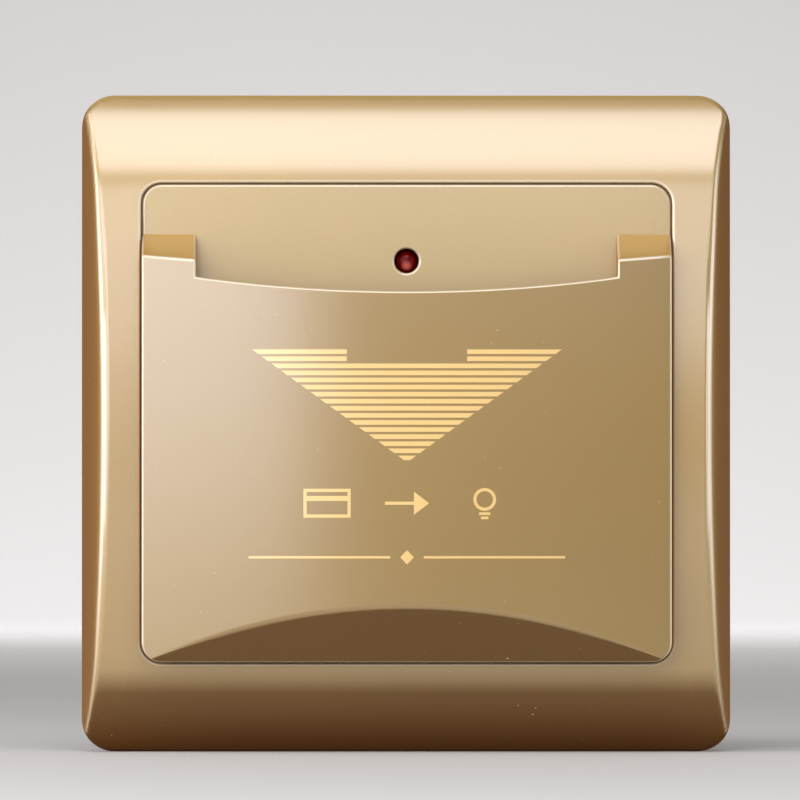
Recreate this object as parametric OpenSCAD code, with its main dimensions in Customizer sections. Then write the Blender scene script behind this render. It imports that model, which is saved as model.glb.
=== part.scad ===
/* [Faceplate] */
// Width of the faceplate
plate_w = 86; // [84:0.5:92]
// Height of the faceplate
plate_h = 87; // [84:0.5:92]
// Corner radius of the faceplate outline
plate_corner_r = 4.4; // [3:0.2:6]
// Height of the face above the wall at its crown
crown_h = 9; // [8.5:0.25:11]
// Radius of the crowned face, seen from the side
crown_r = 260; // [200:10:320]
// Radius of the roll-off at the top and bottom edges
roll_r = 24; // [20:0.5:26]
// Distance from the start of the roll-off to the outer edge
roll_run = 13; // [11:0.5:14]
// Height of the upright edge along the left and right sides
side_edge_h = 1.2; // [0.8:0.1:2]
// Lean of the left and right flanks, width lost for each unit of height
flank_lean = 0.41; // [0.25:0.01:0.45]
// Wall of the moulded faceplate
bezel_wall = 2; // [1.6:0.1:2.4]
// Radius of the snap posts behind the corners
post_r = 2; // [1.6:0.1:2.4]

/* [Face opening] */
// Width of the opening in the faceplate
opening_w = 70.6; // [69:0.2:72]
// Height of the opening in the faceplate
opening_h = 63.8; // [62:0.2:66]
// Corner radius of the opening
opening_corner_r = 3; // [2:0.2:4]
// Gap between the faceplate and the parts in its opening
panel_gap = 0.4; // [0.3:0.05:0.6]
// Width of the ledge that carries the card guide
ledge_w = 1.8; // [1.4:0.1:2.2]
// Thickness of that ledge
ledge_t = 1.3; // [1:0.1:1.6]

/* [Card pocket] */
// Clear width for the card
card_space_w = 55.5; // [55:0.25:57]
// Height of the card guide's face above the wall
guide_h = 7; // [6.6:0.1:7.4]
// Thickness of the card guide
guide_t = 1.6; // [1.2:0.1:1.8]
// Height of the pocket cover's crown above the wall
cover_h = 14.25; // [14:0.05:16]
// Radius of the pocket cover's bowed face
cover_r = 235; // [210:5:300]
// Wall of the pocket cover
cover_wall = 1.5; // [1.2:0.1:1.8]
// Level where the sloped shoulders leave the card guide
shoulder_z = 24.9; // [24:0.1:26]
// Drop of the shoulders for each unit that they rise
shoulder_fall = 0.624; // [0.5:0.02:0.8]
// Level of the pocket's lip at its middle
lip_z = 17.25; // [16:0.25:19]
// Radius of the lip's hollow curve
lip_r = 201; // [160:5:260]
// Level where the lower scoop starts, at the middle of the cover
scoop_z = -24.15; // [-26:0.25:-22]
// Fall of the scoop for each unit that it drops back
scoop_fall = 2.87; // [2:0.1:4]
// Thickness of the two card stops
stop_t = 1.4; // [1:0.1:2]
// Drop of the lever when the card meets the stops
stop_drop = 1.8; // [1.5:0.05:2]

/* [Indicator] */
// Level of the indicator lamp
led_z = 21.4; // [21:0.1:22]
// Diameter of the lamp's lens
led_d = 2.9; // [2.6:0.1:3]
// Diameter of the hole for the lamp
led_hole_d = 3.2; // [3.1:0.1:3.6]
// Depth of the lens below the guide's face
led_sunk = 0.4; // [0.2:0.1:0.8]
// Diameter of the tube that stands the lamp off the board
spacer_d = 4.4; // [4:0.1:5]

/* [Wall fixing] */
// Distance between the two wall screws
screw_spacing = 60.3; // [60:0.1:61]
// Width of the slots for the wall screws
slot_d = 4.3; // [4.2:0.1:4.8]
// Length of the slots for the wall screws
slot_len = 7; // [6:0.25:8]
// Thickness of the mounting plate
base_t = 2; // [1.6:0.1:2.2]
// Corner radius of the mounting plate
base_corner_r = 3; // [2:0.5:4]

/* [Rear housing] */
// Width of the rear housing
housing_w = 50; // [49:0.5:52]
// Height of the rear housing
housing_h = 58; // [57:0.5:62]
// Depth of the rear housing behind the wall's face
housing_d = 31; // [30:0.5:38]
// Wall of the rear housing
housing_wall = 1.8; // [1.6:0.1:2.2]
// Radius of the screw pillars in the housing's corners
pillar_r = 3; // [2.6:0.1:3.4]
// Shank radius of the housing, board and front screws
screw_r = 1.05; // [0.9:0.05:1.2]

/* [Circuit board] */
// Distance of the board behind the wall's face
board_y = 6.5; // [6.4:0.1:7.5]
// Thickness of the board
board_t = 1.6; // [1.2:0.1:1.8]
// Distance between the board and the housing's side walls
board_gap = 0.8; // [0.4:0.1:1.2]
// Length of the relay
relay_l = 29; // [27:0.5:30]
// Width of the relay
relay_w = 12.7; // [11.5:0.1:13]
// Height of the relay off the board
relay_h = 15.7; // [14:0.1:18]
// Length of the film capacitor
film_l = 18; // [15:0.5:20]
// Height of the film capacitor off the board
film_h = 13.5; // [11:0.5:15]
// Diameter of the smoothing capacitor
can_d = 8; // [6.3:0.1:8.2]
// Height of the smoothing capacitor
can_h = 15; // [11:0.5:17]

/* [Terminals] */
// Distance between neighbouring terminals
terminal_pitch = 9; // [8.6:0.1:9.2]
// Width of a terminal block
terminal_w = 6.5; // [6:0.1:6.8]
// Diameter of the hole for the wire
wire_d = 3.8; // [3.2:0.1:4]
// Depth of the hole for the wire
wire_depth = 10.2; // [9:0.2:11]
// Diameter of the clamping screws
clamp_d = 3.2; // [2.8:0.1:3.4]

/* [Card lever] */
// Width of the lever's paddle
paddle_w = 12; // [10:0.5:13]
// Reach of the paddle above the wall
paddle_h = 11; // [10.5:0.1:11.8]
// Level of the lever's pivot
pivot_z = -22; // [-22.5:0.1:-21.5]
// Radius of the lever's pin
pin_r = 0.6; // [0.5:0.05:0.65]
// Wire diameter of the return spring
spring_wire = 0.4; // [0.3:0.05:0.45]

/* [Microswitch] */
// Length of the microswitch
switch_l = 19.8; // [19:0.1:21]
// Height of the microswitch
switch_h = 10.2; // [9.8:0.1:11]
// Wall of the microswitch's case
switch_wall = 1; // [0.8:0.1:1.2]
// Radius of its plunger
plunger_r = 1; // [0.8:0.05:1.2]

/* [Hidden] */
$fn = 64;

// Clearances
seat_gap = 0.3;
running_gap = 0.06;
drill_gap = 0.1;
base_gap = 0.5;
over = 1;

// Faceplate
roll_start = plate_h / 2 - roll_run;
crown_a = asin(roll_start / crown_r);
roll_h = crown_h - crown_r + (crown_r - roll_r) * cos(crown_a);
roll_z = (crown_r - roll_r) * sin(crown_a);
guide_back = guide_h - guide_t;
ledge_back = guide_back - ledge_t;
post_x = plate_w / 2 - bezel_wall - 2 * post_r;
post_z = plate_h / 2 - roll_run / 2 - post_r;
post_tip = 0.4;

// Parts in the opening
panel_w = opening_w - 2 * panel_gap;
panel_h = opening_h - 2 * panel_gap;
panel_r = opening_corner_r - panel_gap;
block_w = (panel_w - card_space_w) / 2;
front_screw_x = card_space_w / 2 + block_w / 2;
front_screw_z = [shoulder_z - 8, scoop_z + 1];
front_screw_head_r = 1.9;
front_screw_head_t = 1;
front_screw_bite = 4;
boss_r = screw_r + 1.3;
lug_r = screw_r + 2;
stop_from = 12;
stop_to = card_space_w / 2 - 3;

// Card lever, at rest
pivot_h = (base_t + guide_back) / 2 - 0.1;
hub_r = guide_back - pivot_h - 0.2;
hub_w = 9;
rear_arm_w = 6;
rear_arm_y = 4.6;
arm_rise = 3.4;
arm_top = pivot_z + arm_rise;
arm_t = 1.8;
root_h = pivot_h + hub_r;
root_z = pivot_z - hub_r / 2;
root_top = arm_top - 1.2;
tip_top = arm_top - 0.3;
spring_turns = 3;
spring_rings = 8;
spring_sides = 6;
spring_gap = 0.45;
spring_pitch = spring_wire + spring_gap;
coil_r = pin_r + spring_wire / 2 + 0.2;
coil_in = hub_w / 2 + seat_gap + spring_wire / 2;
coil_out = coil_in + spring_pitch * spring_turns;
lug_in = coil_out + spring_pitch / 4 + spring_wire / 2 + seat_gap;
lug_t = 1.6;
lug_pin_r = hub_r - 0.1;
window_w = 2 * lug_in - 0.3;
window_top = arm_top + 2;
window_bottom = pivot_z - 3.4;
guide_window_w = paddle_w + 3;

// Microswitch
switch_t = board_y - seat_gap;
switch_y = seat_gap;
plunger_z = arm_top + seat_gap;
plunger_out = 1.9;
switch_z = plunger_z + plunger_out;
switch_floor = switch_z + switch_wall + 0.2;
blade_t = 0.3;
blade_z = switch_floor + 2.3;
blade_pivot_x = 1.9 - switch_l / 2;
contact_x = 6;
contact_r = 0.9;
contact_l = 2.1;
plunger_y = switch_y + switch_t / 2;
leg_x = switch_l / 2 - 1.7;
blade_w = 2.6;
blade_roll_r = 0.45;

// Mounting plate
base_lost = max(0, base_t - side_edge_h) * flank_lean;
base_w = plate_w - 2 * (bezel_wall + base_lost + base_gap);
base_h = 2 * (roll_z + sqrt(pow(roll_r - bezel_wall, 2) - pow(base_t - roll_h, 2)) - base_gap);
slot_reach = slot_len - slot_d;
screw_head_room = slot_d + 0.4;

// Rear housing
cavity_w = housing_w - 2 * housing_wall;
cavity_h = housing_h - 2 * housing_wall;
housing_back = housing_d - housing_wall;
pillar_x = cavity_w / 2 - pillar_r + 0.2;
pillar_z = cavity_h / 2 - pillar_r + 0.2;
housing_screw_l = 10;
housing_head_t = 1.4;

// Board
board_w = cavity_w - 2 * board_gap;
board_h = cavity_h - 2 * board_gap;
board_back = board_y + board_t;
standoff_r = screw_r + 1.3;
standoff_x = board_w / 2 - standoff_r - 0.6;
standoff_z = 8;
board_head_r = 1.9;
board_head_t = 1.2;
lead_r = 0.35;
lead_tail = 0.9;
lead_step = 1.27;
relay_z = led_z - relay_w - 1.2;
relay_base_t = 2;
film_w = 7.5;
film_z = relay_z - film_w - 2.4;
can_x = standoff_x - board_head_r - can_d / 2 - 0.4;
can_z = film_z - can_d / 2 - 2.6;
diode_r = 1.35;
diode_l = 5.2;
diode_step = 3.2;
disc_r = 5;
disc_t = 4;
resistor_r = 1.2;
resistor_l = 6.4;
resistor_x = 8.5;
resistor_gap = 0.6;
lead_bend = 1.2;

// Terminals
terminal_count = 4;
terminal_h = 8;
terminal_foot = 1.7;
terminal_top = terminal_h + terminal_foot - cavity_h / 2;
terminal_l = wire_depth + 2;
wire_roof = 0.9;
wire_z = terminal_top - wire_d / 2 - wire_roof;
clamp_y = housing_back - wire_depth / 2;
clamp_back = 0.2;
clamp_tip = wire_z - wire_d / 2 - clamp_back;
clamp_inset = 0.4;
clamp_end = clamp_inset - housing_h / 2;
strip_w = 4;
strip_t = 0.8;
strip_tail = 1;
terminal_x = [for (i = [0:terminal_count - 1]) (i - (terminal_count - 1) / 2) * terminal_pitch];

// A profile of [height above the wall, level], drawn out across the width
module across(width) {
    rotate([90, 0, -90]) linear_extrude(width, center = true) children();
}

// A front view of [x, level], drawn out from one height above the wall to another
module outward(from, to) {
    translate([0, -from, 0]) rotate([90, 0, 0]) linear_extrude(to - from) children();
}

// A plan of [x, height above the wall], drawn out from one level up to another
module upright(from, to) {
    translate([0, 0, to]) rotate([180, 0, 0]) linear_extrude(to - from) children();
}

// A round bar square to the wall, between two heights above it
module bar_out(x, z, r, from, to) {
    translate([x, -from, z]) rotate([90, 0, 0]) cylinder(r = r, h = to - from);
}

// A round bar behind the wall's face, between two depths
module bar_back(x, z, r, from, to) {
    bar_out(x, z, r, -to, -from);
}

// A box behind the wall's face, between two depths, centred on x
module box_back(x, z, w, h, from, to) {
    translate([x - w / 2, from, z]) cube([w, to - from, h]);
}

// A round bar along the width, centred on x
module bar_across(x, height, z, r, l) {
    translate([x - l / 2, -height, z]) rotate([0, 90, 0]) cylinder(r = r, h = l);
}

function arc(centre, r, from, to, steps) =
    [for (i = [0:steps]) let (a = from + (to - from) * i / steps)
        centre + r * [cos(a), sin(a)]];

// A rectangle on the origin with round corners
function rounded(w, h, r, steps = 6) = let (x = w / 2 - r, y = h / 2 - r)
    concat(
        arc([x, y], r, 0, 90, steps),
        arc([-x, y], r, 90, 180, steps),
        arc([-x, -y], r, 180, 270, steps),
        arc([x, -y], r, 270, 360, steps)
    );

// Upper half of the crowned face seen from the side, a wall's thickness inside the skin
function crown_half(inset) = let (
        last = asin((plate_h / 2 - inset - roll_z) / (roll_r - inset))
    )
    concat(
        arc([crown_h - crown_r, 0], crown_r - inset, 0, crown_a, 6),
        [for (p = arc([roll_h, roll_z], roll_r - inset, crown_a, last, 12)) p]
    );

module crowned_form(inset) {
    half = crown_half(inset);
    edge = plate_h / 2 - inset;
    foot = inset > 0 ? -over : 0;
    below = [for (i = [len(half) - 1:-1:1]) [half[i].x, -half[i].y]];
    flank_top = crown_h + over;
    lost = (flank_top - side_edge_h) * flank_lean;
    side = plate_w / 2 - inset;
    intersection() {
        across(plate_w) polygon(concat([[foot, -edge]], below, half, [[foot, edge]]));
        outward(foot, flank_top)
            polygon(rounded(plate_w - 2 * inset, plate_h - 2 * inset, plate_corner_r - inset));
        upright(-plate_h, plate_h)
            polygon([
                [-side, foot], [side, foot], [side, side_edge_h], [side - lost, flank_top],
                [lost - side, flank_top], [-side, side_edge_h]
            ]);
    }
}

module opening_outline(grow) {
    polygon(rounded(opening_w + 2 * grow, opening_h + 2 * grow, opening_corner_r + max(grow, 0)));
}

module at_front_screws() {
    for (x = [-front_screw_x, front_screw_x], z = front_screw_z) translate([x, 0, z]) children();
}

// Crowned frame with its flanks, the wall round its opening, the guide's ledge and the snap posts
module bezel() {
    color("#d9c08a") difference() {
        union() {
            difference() {
                crowned_form(0);
                crowned_form(bezel_wall);
            }
            intersection() {
                crowned_form(bezel_wall / 2);
                union() {
                    outward(ledge_back, crown_h) opening_outline(bezel_wall);
                    for (x = [-post_x, post_x], z = [-post_z, post_z])
                        bar_out(x, z, post_r, post_tip, crown_h);
                }
            }
        }
        outward(guide_back, crown_h + over) opening_outline(0);
        difference() {
            outward(-over, guide_back + over) opening_outline(-ledge_w);
            at_front_screws() bar_out(0, 0, lug_r, ledge_back, guide_back);
        }
        at_front_screws() bar_out(0, 0, screw_r + drill_gap, -over, crown_h);
        for (x = [-1, 1]) bar_out(x * screw_spacing / 2, 0, screw_head_room, 0, guide_back + over);
    }
}

module panel_outline(inset) {
    polygon(rounded(panel_w - 2 * inset, panel_h - 2 * inset, max(panel_r - inset, 0.5)));
}

// Flat panel that backs the card, with the lamp's hole and the lever's window
module card_guide() {
    color("#d4bc8e") difference() {
        outward(guide_back, guide_h) panel_outline(0);
        bar_out(0, led_z, led_hole_d / 2, guide_back - over, guide_h + over);
        translate([0, -guide_h, led_z]) rotate([90, 0, 0])
            cylinder(r1 = led_hole_d / 2 - over, r2 = led_hole_d / 2 + over + 0.3, h = 2 * over + 0.3,
                center = true);
        outward(guide_back - over, guide_h + over)
            translate([-guide_window_w / 2, window_bottom])
                square([guide_window_w, window_top - window_bottom]);
        at_front_screws() bar_out(0, 0, screw_r + drill_gap, guide_back - over, guide_h + over);
    }
}

function shoulder_at(height, inset) = shoulder_z - shoulder_fall * (height - guide_h)
    - inset * sqrt(1 + pow(shoulder_fall, 2));

function scoop_at(height, inset) = scoop_z - scoop_fall * (cover_h - height)
    + inset * sqrt(1 + pow(scoop_fall, 2));

// Bowed block with its sloped shoulders and lower scoop, a wall's thickness inside the skin
module cover_form(inset) {
    low = inset > 0 ? guide_h - over : guide_h;
    high = cover_h + over;
    intersection() {
        outward(low, high) panel_outline(inset);
        upright(-panel_h, panel_h) translate([0, cover_h - cover_r])
            circle(cover_r - inset, $fn = 360);
        across(panel_w) polygon([
            [low, shoulder_at(low, inset)], [high, shoulder_at(high, inset)],
            [high, scoop_at(high, inset)], [low, scoop_at(low, inset)]
        ]);
    }
}

module card_space() {
    outward(guide_h - over, cover_h + over)
        translate([-card_space_w / 2, -panel_h / 2]) square([card_space_w, panel_h]);
}

// Bowed cover with a hollow lip, two hollow guide blocks at its sides, screw bosses and card stops
module pocket_cover() {
    color("#cdb282") difference() {
        union() {
            difference() {
                cover_form(0);
                intersection() {
                    cover_form(cover_wall);
                    union() {
                        card_space();
                        for (side = [0, 1]) mirror([side, 0, 0])
                            translate([card_space_w / 2 + cover_wall, -cover_h - over, -panel_h / 2])
                                cube([block_w, cover_h + over, panel_h]);
                    }
                }
            }
            intersection() {
                cover_form(0);
                union() {
                    at_front_screws() bar_out(0, 0, boss_r, guide_h, cover_h);
                    for (side = [0, 1]) mirror([side, 0, 0])
                        translate([stop_from, -cover_h, arm_top - stop_drop - stop_t])
                            cube([stop_to - stop_from, cover_h - guide_h, stop_t]);
                }
            }
        }
        outward(guide_h - over, cover_h + over) intersection() {
            translate([-card_space_w / 2, 0]) square([card_space_w, panel_h]);
            translate([0, lip_z + lip_r]) circle(lip_r, $fn = 360);
        }
        at_front_screws() bar_out(0, 0, screw_r + drill_gap / 2, guide_h - over, guide_h + front_screw_bite);
    }
}

// A cross-headed screw lying along the way out of the wall, its seat at height 0 and its head below
module screw(shank, head_r, head_t) {
    slot_w = head_r * 0.3;
    difference() {
        union() {
            bar_out(0, 0, head_r, -head_t, 0);
            bar_out(0, 0, screw_r, 0, shank);
        }
        for (a = [0, 90]) rotate([0, a, 0]) translate([-head_r * 0.7, head_t / 2, -slot_w / 2])
            cube([head_r * 1.4, head_t, slot_w]);
    }
}

// Four screws from behind that hold the faceplate, the guide and the cover together
module front_screws() {
    color("silver") at_front_screws() translate([0, -ledge_back, 0])
        screw(ledge_t + guide_t + front_screw_bite - 0.5, front_screw_head_r, front_screw_head_t);
}

module at_pillars() {
    for (x = [-pillar_x, pillar_x], z = [-pillar_z, pillar_z]) translate([x, 0, z]) children();
}

module at_standoffs() {
    for (x = [-standoff_x, standoff_x], z = [-standoff_z, standoff_z]) translate([x, 0, z]) children();
}

// Plate on the wall box, with the wall screws' slots, the posts' sockets and the lever's bearings
module mounting_plate() {
    color("#e9e4d6") difference() {
        union() {
            outward(0, base_t) polygon(rounded(base_w, base_h, base_corner_r));
            at_standoffs() bar_back(0, 0, standoff_r, -base_t, board_y);
            for (side = [-1, 1]) translate([side * (lug_in + lug_t / 2), 0, 0]) {
                bar_across(0, pivot_h, pivot_z, lug_pin_r, lug_t);
                translate([-lug_t / 2, -pivot_h, pivot_z - lug_pin_r]) cube([lug_t, pivot_h, 2 * lug_pin_r]);
            }
        }
        for (side = [-1, 1]) {
            for (end = [-1, 1])
                bar_out(side * screw_spacing / 2 + end * slot_reach / 2, 0, slot_d / 2, -over, base_t + over);
            translate([side * screw_spacing / 2 - slot_reach / 2, -base_t - over, -slot_d / 2])
                cube([slot_reach, base_t + 2 * over, slot_d]);
        }
        for (x = [-post_x, post_x], z = [-post_z, post_z])
            bar_out(x, z, post_r + running_gap, -over, base_t + over);
        bar_out(0, led_z, spacer_d / 2 + seat_gap, -over, base_t + over);
        outward(-over, base_t + over) translate([-window_w / 2, window_bottom])
            square([window_w, window_top - window_bottom]);
        at_pillars() bar_out(0, 0, screw_r + drill_gap, -over, base_t + over);
        at_standoffs() bar_back(0, 0, screw_r + drill_gap / 2, 0, board_y + over);
        bar_across(0, pivot_h, pivot_z, pin_r + drill_gap / 5, 2 * (lug_in + lug_t) + over);
    }
}

// Deep box in the wall behind the plate, with its screw pillars, terminal ribs and holes
module rear_housing() {
    rib_t = terminal_pitch - terminal_w - 2 * seat_gap;
    color("#3c3b3a") difference() {
        union() {
            difference() {
                outward(-housing_d, 0) polygon(rounded(housing_w, housing_h, housing_wall));
                outward(-housing_back, over) polygon(rounded(cavity_w, cavity_h, housing_wall / 2));
            }
            intersection() {
                outward(-housing_d, 0) polygon(rounded(housing_w, housing_h, housing_wall));
                at_pillars() bar_back(0, 0, pillar_r, 0, housing_d);
            }
            for (i = [1:terminal_count - 1])
                box_back((terminal_x[i - 1] + terminal_x[i]) / 2, -housing_h / 2 + over, rib_t,
                    terminal_top + housing_h / 2 - over, housing_back - terminal_l + over, housing_d - over);
        }
        at_pillars() bar_back(0, 0, screw_r + drill_gap / 2, -over, housing_screw_l + over);
        for (x = terminal_x) {
            bar_back(x, wire_z, wire_d / 2 + 0.4, housing_back - over, housing_d + over);
            translate([x, clamp_y, -housing_h / 2 - over])
                cylinder(d = clamp_d + 1.2, h = housing_wall + 2 * over);
        }
    }
}

// Four screws through the plate into the housing's pillars
module housing_screws() {
    color("silver") at_pillars() translate([0, -base_t, 0]) rotate([180, 0, 0])
        screw(base_t + housing_screw_l - 0.5, 2 * screw_r, housing_head_t);
}

// Bare board with its corners cut round the pillars
module circuit_board() {
    notch_w = board_w / 2 - pillar_x + pillar_r + seat_gap;
    notch_h = board_h / 2 - pillar_z + pillar_r + seat_gap;
    color("#2f6b3f") difference() {
        outward(-board_back, -board_y) difference() {
            square([board_w, board_h], center = true);
            for (x = [-1, 1], z = [-1, 1]) translate([x * board_w / 2, z * board_h / 2])
                square([2 * notch_w, 2 * notch_h], center = true);
            for (x = terminal_x) translate([x, terminal_top - terminal_h / 2])
                square([strip_w + 2 * drill_gap, strip_t + 2 * drill_gap], center = true);
        }
        at_standoffs() bar_back(0, 0, screw_r + drill_gap, board_y - over, board_back + over);
        at_leads() bar_back(0, 0, lead_r + drill_gap, board_y - over, board_back + over);
    }
}

// Places of the round leads that pass through the board
module at_leads() {
    for (x = [-lead_step, lead_step]) translate([x, 0, led_z]) children();
    for (p = switch_legs()) translate([p.x, 0, p.y]) children();
}

// Four screws that hold the board to the plate's standoffs
module board_screws() {
    color("silver") at_standoffs() translate([0, board_back, 0])
        screw(board_t + board_y - base_t, board_head_r, board_head_t);
}

// Sealed cover of the relay
module relay_case() {
    color("#33405c") outward(-board_back - relay_h, -board_back - relay_base_t)
        translate([0, relay_z + relay_w / 2]) polygon(rounded(relay_l, relay_w, 0.8));
}

// Base of the relay, on the board
module relay_base() {
    color("#22262e") outward(-board_back - relay_base_t, -board_back)
        translate([0, relay_z + relay_w / 2]) polygon(rounded(relay_l - 0.6, relay_w - 0.6, 0.6));
}

// Boxed film capacitor that drops the mains voltage
module film_capacitor() {
    color("#8c2f2a") outward(-board_back - film_h, -board_back) translate([0, film_z + film_w / 2])
        polygon(rounded(film_l, film_w, 0.6));
}

// Round can that smooths the supply, with the groove near its foot
module smoothing_capacitor() {
    foot = 1.4;
    groove = 0.4;
    color("#25324a") difference() {
        bar_back(can_x, can_z, can_d / 2, board_back, board_back + can_h);
        difference() {
            bar_back(can_x, can_z, can_d, board_back + foot, board_back + foot + 2 * groove);
            bar_back(can_x, can_z, can_d / 2 - groove, board_back, board_back + can_h);
        }
    }
}

// Body on two bent leads, lying along the width over the board
module axial_part(x, z, r, l, lift) {
    reach = l / 2 + lead_bend;
    bar_across(x, -board_back - lift, z, r, l);
    bar_across(x, -board_back - lift, z, lead_r, 2 * reach);
    for (side = [-reach, reach]) bar_back(x + side, z, lead_r, board_back, board_back + lift + lead_r);
}

// Four diodes that feed the relay
module rectifier_diodes() {
    color("#1c1c1e") for (i = [0:3])
        axial_part(0, film_z - diode_step * (i + 1), diode_r, diode_l, diode_r + seat_gap);
}

// Two resistors beside the lamp's leads
module resistors() {
    color("#c9a66b") for (x = [-resistor_x, resistor_x])
        axial_part(x, relay_z + relay_w + resistor_r + resistor_gap, resistor_r, resistor_l,
            resistor_r + seat_gap);
}

// Disc on two leads that takes up surges
module varistor() {
    lift = 1.2;
    centre_y = board_back + lift + disc_r;
    color("#2a4f8f") {
        bar_across(-can_x, -centre_y, can_z, disc_r, disc_t);
        for (z = [-2.5, 2.5]) bar_back(-can_x, can_z + z, lead_r, board_back, centre_y);
    }
}

// Small transistor that drives the relay's coil
module transistor() {
    body_r = 2.3;
    body_l = 4.6;
    flat = body_r * 0.55;
    x = -film_l / 2 - body_r - 1.6;
    z = film_z + film_w / 2;
    lift = 1.6;
    color("#1a1a1c") {
        difference() {
            bar_back(x, z, body_r, board_back + lift, board_back + lift + body_l);
            box_back(x, z + flat, 2 * body_r, body_r, board_back, board_back + lift + body_l + over);
        }
        for (side = [-lead_step, 0, lead_step])
            bar_back(x + side, z - 0.4, lead_r, board_back, board_back + lift + over);
    }
}

// Red lamp with its flange, dome and lens
module indicator_led() {
    lens_top = guide_h - led_sunk;
    flange_t = 0.8;
    flange_h = base_t + seat_gap;
    color("#a01414") {
        bar_out(0, led_z, spacer_d / 2 - 0.3, flange_h, flange_h + flange_t);
        bar_out(0, led_z, led_d / 2, flange_h, lens_top - led_d / 2);
        translate([0, led_d / 2 - lens_top, led_z]) sphere(d = led_d);
    }
}

// Tube that stands the lamp off the board
module led_spacer() {
    color("#141414") difference() {
        bar_back(0, led_z, spacer_d / 2, -base_t - seat_gap, board_y);
        for (x = [-lead_step, lead_step])
            bar_back(x, led_z, lead_r + drill_gap / 2, -base_t - over, board_y + over);
    }
}

// The lamp's two leads
module led_leads() {
    color("silver") for (x = [-lead_step, lead_step])
        bar_back(x, led_z, lead_r, -base_t - seat_gap, board_back + lead_tail);
}

// Case of the microswitch, open at its lid
module switch_case() {
    color("#202022") difference() {
        box_back(0, switch_z, switch_l, switch_h, switch_y + switch_wall, board_y);
        box_back(0, switch_floor, switch_l - 2 * switch_wall, switch_h - 2 * switch_wall - 0.2,
            switch_y, board_y - switch_wall);
        translate([0, plunger_y, switch_z - over])
            cylinder(r = plunger_r + running_gap, h = switch_floor - switch_z + 2 * over);
        for (p = switch_legs()) bar_back(p.x, p.y, lead_r + drill_gap / 2, switch_y, board_y + over);
    }
}

// Lid of the microswitch
module switch_lid() {
    color("#2c2c30") box_back(0, switch_z, switch_l, switch_h, switch_y, switch_y + switch_wall);
}

// Leg places, in [x, level], of the common, closing and opening contacts
function switch_legs() = [
    [-leg_x, blade_z - 1.6],
    [leg_x, switch_floor + 0.5],
    [leg_x, switch_z + switch_h - switch_wall - 0.9]
];

// Common post, lower contact and upper contact, each on its own leg
module switch_contacts() {
    legs = switch_legs();
    roof = switch_z + switch_h - switch_wall;
    color("#b5883a") {
        bar_back(legs[0].x, legs[0].y, lead_r, switch_y + switch_wall + 0.4, board_back + lead_tail);
        translate([legs[0].x - 0.5, plunger_y - blade_w / 2, switch_floor])
            cube([1, blade_w, blade_z + blade_t / 2 - blade_roll_r - seat_gap - switch_floor]);
        for (upper = [0, 1]) {
            leg = legs[1 + upper];
            plate_z = upper == 1 ? roof - 0.5 : switch_floor;
            bar_back(leg.x, leg.y, lead_r, switch_y + switch_wall + 0.4, board_back + lead_tail);
            translate([contact_x - contact_r, plunger_y - blade_w / 2, plate_z])
                cube([leg.x + 0.4 - contact_x + contact_r, blade_w, 0.5]);
            translate([leg.x - 0.4, plunger_y - blade_w / 2, min(plate_z, leg.y)])
                cube([0.8, blade_w, abs(plate_z - leg.y) + 0.5]);
            translate([contact_x, plunger_y, upper == 1 ? roof - contact_l : switch_floor])
                cylinder(r = contact_r, h = upper == 1 ? contact_l : blade_z - seat_gap - switch_floor);
        }
    }
}

// Pin that the lever pushes into the switch
module switch_plunger() {
    color("#c23b2e") {
        translate([0, plunger_y, plunger_z]) cylinder(r = plunger_r, h = blade_z - seat_gap - plunger_z);
        translate([0, plunger_y, switch_floor + 0.1]) cylinder(r = plunger_r + 0.5, h = 0.8);
    }
}

// Springy strip with its contact, which the plunger lifts
module contact_blade() {
    color("#c79a4a") {
        translate([blade_pivot_x, plunger_y - blade_w / 2, blade_z])
            cube([contact_x + contact_r - blade_pivot_x, blade_w, blade_t]);
        bar_back(blade_pivot_x, blade_z + blade_t / 2, blade_roll_r, plunger_y - blade_w / 2,
            plunger_y + blade_w / 2);
        translate([contact_x, plunger_y, blade_z]) cylinder(r = contact_r, h = blade_t + 0.4);
    }
}

// Rocking lever: the card pushes its paddle down, and its rear arm lifts the plunger
module card_lever() {
    color("#f0ece2") difference() {
        union() {
            bar_across(0, pivot_h, pivot_z, hub_r, hub_w);
            across(paddle_w) polygon([
                [root_h, root_top], [paddle_h, tip_top],
                [paddle_h, arm_top - arm_t], [root_h, root_z]
            ]);
            across(hub_w) polygon([
                [pivot_h, pivot_z - hub_r * 0.9], [root_h + seat_gap, root_z],
                [root_h + seat_gap, root_top], [pivot_h, pivot_z + hub_r * 0.9]
            ]);
            across(rear_arm_w) polygon([
                [pivot_h + 0.4, pivot_z - hub_r * 0.8], [pivot_h + 0.4, pivot_z + hub_r * 0.8],
                [0, arm_top], [-rear_arm_y, arm_top], [-rear_arm_y, arm_top - arm_t], [0, arm_top - arm_t]
            ]);
        }
        bar_across(0, pivot_h, pivot_z, pin_r + running_gap, paddle_w + over);
    }
}

// Steel pin that the lever rocks on
module lever_pin() {
    color("#c8c8cc") bar_across(0, pivot_h, pivot_z, pin_r, 2 * (lug_in + lug_t));
}

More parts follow.
